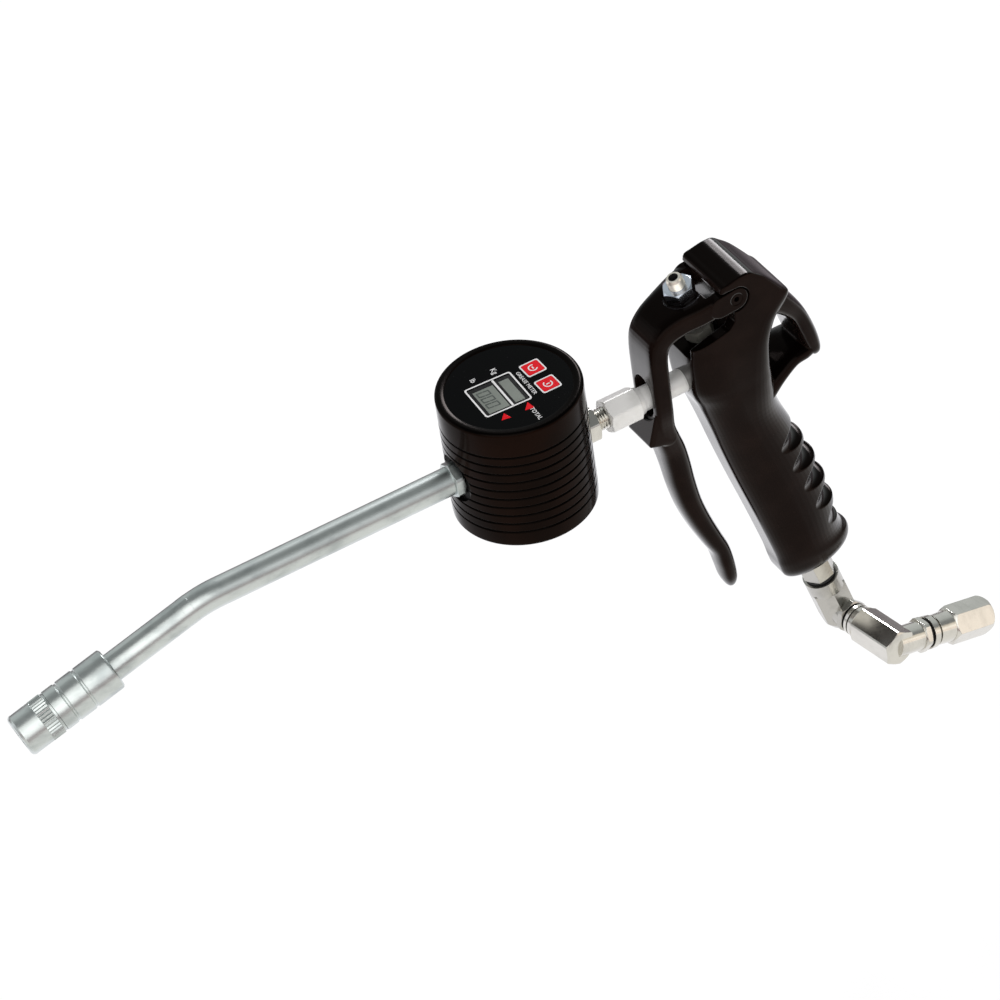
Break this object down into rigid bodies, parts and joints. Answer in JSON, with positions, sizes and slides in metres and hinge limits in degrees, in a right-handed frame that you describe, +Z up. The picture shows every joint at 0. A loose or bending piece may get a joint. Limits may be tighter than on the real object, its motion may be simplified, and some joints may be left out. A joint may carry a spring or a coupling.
{
  "type": "grease control gun with digital meter",
  "caption": "Lever-operated grease control gun with an in-line digital meter, bent delivery tube, jaw coupler and a multi-axis swivel inlet.",
  "frame": {"origin": "centre of the meter's flat base", "axes": "+X from the coupler towards the pistol grip, +Y to the far side, +Z up"},
  "size_m": [0.3584, 0.0605, 0.1972],
  "materials": {
    "black_paint": "semi-gloss brown-black paint",
    "anodised": "dark anodised, turned grooves",
    "face": "gloss black face",
    "lcd": "grey-green display",
    "key_red": "red keys",
    "bezel_white": "white key rims",
    "zinc": "zinc plated, faint drawn streaks",
    "bright_zinc": "bright zinc plated",
    "nickel": "nickel plated",
    "steel": "plain steel",
    "brass": "turned brass",
    "rubber": "black nitrile rubber",
    "board": "green solder mask",
    "cast": "machined aluminium"
  },
  "bodies": {
    "gun": {"gun_body": "black_paint", "meter_housing": "anodised", "face_panel": "face", "lcd_module": "lcd", "button_bezels": "bezel_white", "delivery_tube": "zinc", "coupler_body": "zinc", "coupler_cap": "zinc", "outlet_fitting": "zinc", "outlet_adapter": "nickel", "inlet_fitting": "nickel", "swivel_stud": "nickel", "gland_nut": "nickel", "lever_pin": "steel", "valve_seat": "steel", "valve_spring": "steel", "gear_axles": "steel", "base_screws": "steel", "board_screws": "steel", "coupler_spring": "steel", "battery": "steel", "key_domes": "steel", "valve_cage": "brass", "stem_packing": "rubber", "inlet_seal": "rubber", "base_seal": "rubber", "seal_1": "rubber", "circuit_board": "board", "chamber_block": "cast", "base_cover": "cast"},
    "lever": {"lever": "black_paint", "set_screw": "bright_zinc", "lock_nut": "bright_zinc"},
    "valve": {"valve_stem": "steel", "valve_ball": "steel"},
    "button_1": {"button_1": "key_red"},
    "button_2": {"button_2": "key_red"},
    "gear_a": {"gear_a": "steel", "gear_magnets": "steel"},
    "gear_b": {"gear_b": "steel"},
    "elbow_1": {"elbow_1": "nickel", "seal_2": "rubber", "ring_2": "nickel"},
    "elbow_2": {"elbow_2": "nickel", "seal_3": "rubber", "ring_3": "nickel"},
    "end_connector": {"end_connector": "nickel"},
    "jaw_1": {"jaw_1": "steel"},
    "jaw_2": {"jaw_2": "steel"},
    "jaw_3": {"jaw_3": "steel"},
    "jaw_4": {"jaw_4": "steel"},
    "piston": {"coupler_piston": "brass"}
  },
  "joints": [
    {"name": "lever_pivot", "type": "hinge", "parent": "gun", "child": "lever", "pos_m": [0.0825, 0, 0.0514], "axis": [0, -1, 0], "range_deg": [0, 6.5], "stiffness_Nm_per_rad": 4},
    {"name": "valve_slide", "type": "slide", "parent": "gun", "child": "valve", "axis": [0.2672, 0, -0.9636], "range_m": [0, 0.0015], "stiffness_N_per_m": 900, "deforming": ["valve_spring"]},
    {"name": "button_1_press", "type": "slide", "parent": "gun", "child": "button_1", "axis": [0, 0, -1], "range_m": [0, 0.0006], "stiffness_N_per_m": 400},
    {"name": "button_2_press", "type": "slide", "parent": "gun", "child": "button_2", "axis": [0, 0, -1], "range_m": [0, 0.0006], "stiffness_N_per_m": 400},
    {"name": "gear_a_spin", "type": "hinge", "parent": "gun", "child": "gear_a", "pos_m": [0, 0.0075, 0.0187], "axis": [0, 0, 1], "continuous": true},
    {"name": "gear_b_spin", "type": "hinge", "parent": "gun", "child": "gear_b", "pos_m": [0, -0.0075, 0.0187], "axis": [0, 0, 1], "continuous": true},
    {"name": "swivel_1", "type": "hinge", "parent": "gun", "child": "elbow_1", "pos_m": [0.10981, 0, -0.09618], "axis": [0.2672, 0, -0.9636], "continuous": true},
    {"name": "swivel_2", "type": "hinge", "parent": "elbow_1", "child": "elbow_2", "pos_m": [0.11542, 0, -0.11642], "axis": [0.1468, -0.9883, 0.0407], "range_deg": [-65, 185]},
    {"name": "swivel_3", "type": "hinge", "parent": "elbow_2", "child": "end_connector", "pos_m": [0.1199, -0.03014, -0.11517], "axis": [0.9425, 0.1273, -0.3091], "continuous": true},
    {"name": "jaw_1_open", "type": "slide", "parent": "gun", "child": "jaw_1", "axis": [-0.274, 0, 0.9617], "range_m": [0, 0.00025]},
    {"name": "jaw_2_open", "type": "slide", "parent": "gun", "child": "jaw_2", "axis": [0, 1, 0], "range_m": [0, 0.00025]},
    {"name": "jaw_3_open", "type": "slide", "parent": "gun", "child": "jaw_3", "axis": [0.274, 0, -0.9617], "range_m": [0, 0.00025]},
    {"name": "jaw_4_open", "type": "slide", "parent": "gun", "child": "jaw_4", "axis": [0, -1, 0], "range_m": [0, 0.00025]},
    {"name": "piston_press", "type": "slide", "parent": "gun", "child": "piston", "axis": [0.9617, 0, 0.274], "range_m": [0, 0.0015], "stiffness_N_per_m": 700, "deforming": ["coupler_spring"]}
  ],
  "couplings": [
    {"joint": "valve_slide", "follows": "lever_pivot", "m_per_rad": 0.01312},
    {"joint": "gear_b_spin", "follows": "gear_a_spin", "ratio": -1},
    {"joint": "jaw_2_open", "follows": "jaw_1_open", "ratio": 1},
    {"joint": "jaw_3_open", "follows": "jaw_1_open", "ratio": 1},
    {"joint": "jaw_4_open", "follows": "jaw_1_open", "ratio": 1}
  ]
}
